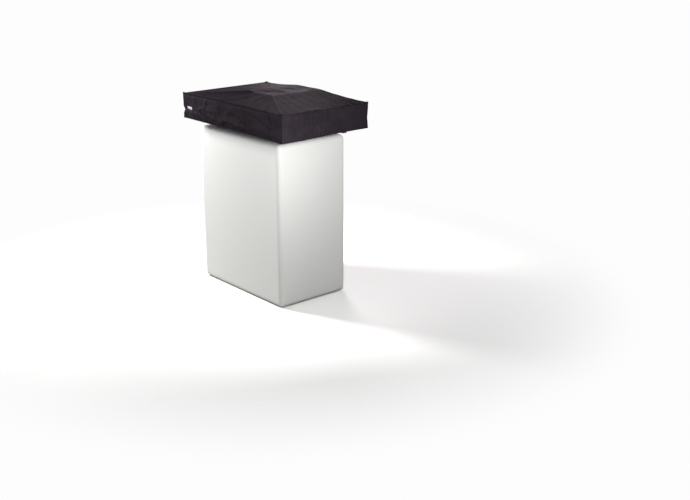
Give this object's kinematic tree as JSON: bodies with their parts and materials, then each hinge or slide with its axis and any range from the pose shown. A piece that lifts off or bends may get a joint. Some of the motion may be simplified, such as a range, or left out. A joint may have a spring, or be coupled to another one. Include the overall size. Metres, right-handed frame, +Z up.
{
  "type": "roof top tent",
  "caption": "Soft-shell roof top tent closed for travel under a dark fabric cover, with a folding base, hoop canopy, telescopic ladder and crossbar clamps.",
  "frame": {"origin": "on the plane under the clamp bolts, below the middle of the cover", "axes": "+X forward along the vehicle, +Y to the side that the cover peels back over, +Z up"},
  "size_m": [1.649, 1.0709, 0.3773],
  "materials": {
    "coated_cover_cloth": "matte",
    "black_webbing": "matte",
    "white_woven_label": "matte",
    "grey_laminate_board": "satin",
    "black_anodised_aluminium": "satin",
    "black_plastic": "matte",
    "grey_mattress_cloth": "matte",
    "black_coated_steel": "satin",
    "zinc_plated_steel": "satin",
    "bare_aluminium_tube": "satin",
    "olive_canopy_cloth": "matte",
    "brushed_aluminium": "satin",
    "black_rubber": "matte",
    "red_plastic": "matte"
  },
  "bodies": {
    "base": {"lower_board": "grey_laminate_board", "lower_frame": "black_anodised_aluminium", "lower_corner_caps": "black_plastic", "rail_right": "black_anodised_aluminium", "rail_left": "black_anodised_aluminium", "rail_bolts": "zinc_plated_steel", "lower_mattress": "grey_mattress_cloth", "lower_hinge_brackets": "black_coated_steel", "lower_bracket_screws": "zinc_plated_steel", "hinge_pins": "zinc_plated_steel", "keder_track": "black_anodised_aluminium"},
    "panel": {"upper_board": "grey_laminate_board", "upper_frame": "black_anodised_aluminium", "upper_corner_caps": "black_plastic", "upper_mattress": "grey_mattress_cloth", "upper_hinge_brackets": "black_coated_steel", "upper_bracket_screws": "zinc_plated_steel", "ladder_brackets": "black_coated_steel", "ladder_pivot_pins": "zinc_plated_steel", "ladder_rest_pads": "black_rubber"},
    "hoop_low": {"lower_hoop": "bare_aluminium_tube"},
    "hoop_mid": {"middle_hoop": "bare_aluminium_tube", "folded_canopy": "olive_canopy_cloth"},
    "hoop_high": {"upper_hoop": "bare_aluminium_tube"},
    "ladder_1": {"ladder_section_1": "brushed_aluminium", "ladder_collars_1": "black_plastic"},
    "ladder_2": {"ladder_section_2": "brushed_aluminium", "ladder_collars_2": "black_plastic"},
    "ladder_3": {"ladder_section_3": "brushed_aluminium", "ladder_collars_3": "black_plastic"},
    "ladder_4": {"ladder_section_4": "brushed_aluminium", "ladder_collars_4": "black_plastic"},
    "ladder_5": {"ladder_section_5": "brushed_aluminium", "ladder_collars_5": "black_plastic"},
    "ladder_6": {"ladder_section_6": "brushed_aluminium", "ladder_collars_6": "black_plastic"},
    "ladder_7": {"ladder_section_7": "brushed_aluminium", "ladder_collars_7": "black_plastic", "ladder_feet": "black_rubber"},
    "release_rear": {"release_button_rear": "red_plastic"},
    "release_front": {"release_button_front": "red_plastic"},
    "front_clamps": {"front_clamp_jaws": "black_coated_steel", "front_clamp_pads": "black_rubber", "front_clamp_bolts": "zinc_plated_steel", "front_clamp_nuts": "zinc_plated_steel"},
    "rear_clamps": {"rear_clamp_jaws": "black_coated_steel", "rear_clamp_pads": "black_rubber", "rear_clamp_bolts": "zinc_plated_steel", "rear_clamp_nuts": "zinc_plated_steel"},
    "cover": {"travel_cover": "coated_cover_cloth", "keder_cord": "black_webbing", "cover_label": "white_woven_label"}
  },
  "joints": [
    {"name": "base_fold", "type": "hinge", "parent": "base", "child": "panel", "pos_m": [0, -0.5125, 0.202], "axis": [1, 0, 0], "range_deg": [0, 179], "deforming": ["travel_cover", "cover_label"]},
    {"name": "lower_hoop_fold", "type": "hinge", "parent": "base", "child": "hoop_low", "pos_m": [0, -0.5125, 0.202], "axis": [1, 0, 0], "range_deg": [0, 45]},
    {"name": "middle_hoop_fold", "type": "hinge", "parent": "base", "child": "hoop_mid", "pos_m": [0, -0.5125, 0.202], "axis": [1, 0, 0], "range_deg": [0, 90]},
    {"name": "upper_hoop_fold", "type": "hinge", "parent": "base", "child": "hoop_high", "pos_m": [0, -0.5125, 0.202], "axis": [1, 0, 0], "range_deg": [0, 135]},
    {"name": "ladder_swing", "type": "hinge", "parent": "panel", "child": "ladder_1", "pos_m": [0, 0.4925, 0.351], "axis": [-1, 0, 0], "range_deg": [0, 105]},
    {"name": "ladder_slide_2", "type": "slide", "parent": "ladder_1", "child": "ladder_2", "axis": [0, -1, 0], "range_m": [0, 0.19]},
    {"name": "ladder_slide_3", "type": "slide", "parent": "ladder_2", "child": "ladder_3", "axis": [0, -1, 0], "range_m": [0, 0.19]},
    {"name": "ladder_slide_4", "type": "slide", "parent": "ladder_3", "child": "ladder_4", "axis": [0, -1, 0], "range_m": [0, 0.19]},
    {"name": "ladder_slide_5", "type": "slide", "parent": "ladder_4", "child": "ladder_5", "axis": [0, -1, 0], "range_m": [0, 0.19]},
    {"name": "ladder_slide_6", "type": "slide", "parent": "ladder_5", "child": "ladder_6", "axis": [0, -1, 0], "range_m": [0, 0.19]},
    {"name": "ladder_slide_7", "type": "slide", "parent": "ladder_6", "child": "ladder_7", "axis": [0, -1, 0], "range_m": [0, 0.19]},
    {"name": "cover_stow", "type": "hinge", "parent": "base", "child": "cover", "pos_m": [0, 0.52725, 0.0841], "axis": [-1, 0, 0], "range_deg": [0, 179.5]},
    {"name": "release_rear_press", "type": "slide", "parent": "ladder_7", "child": "release_rear", "axis": [-1, 0, 0], "range_m": [0, 0.008], "stiffness_N_per_m": 200},
    {"name": "release_front_press", "type": "slide", "parent": "ladder_7", "child": "release_front", "axis": [1, 0, 0], "range_m": [0, 0.008], "stiffness_N_per_m": 200},
    {"name": "front_clamp_slide", "type": "slide", "parent": "base", "child": "front_clamps", "axis": [1, 0, 0], "range_m": [-0.1, 0.1]},
    {"name": "rear_clamp_slide", "type": "slide", "parent": "base", "child": "rear_clamps", "axis": [1, 0, 0], "range_m": [-0.1, 0.1]}
  ],
  "couplings": [
    {"joint": "lower_hoop_fold", "follows": "base_fold", "ratio": 0.25},
    {"joint": "middle_hoop_fold", "follows": "base_fold", "ratio": 0.5},
    {"joint": "upper_hoop_fold", "follows": "base_fold", "ratio": 0.75},
    {"joint": "ladder_swing", "follows": "base_fold", "ratio": 0.5865},
    {"joint": "ladder_slide_2", "follows": "base_fold", "m_per_rad": 0.0608},
    {"joint": "ladder_slide_3", "follows": "base_fold", "m_per_rad": 0.0608},
    {"joint": "ladder_slide_4", "follows": "base_fold", "m_per_rad": 0.0608},
    {"joint": "ladder_slide_5", "follows": "base_fold", "m_per_rad": 0.0608},
    {"joint": "ladder_slide_6", "follows": "base_fold", "m_per_rad": 0.0608},
    {"joint": "ladder_slide_7", "follows": "base_fold", "m_per_rad": 0.0608},
    {"joint": "cover_stow", "follows": "base_fold", "ratio": 1}
  ]
}
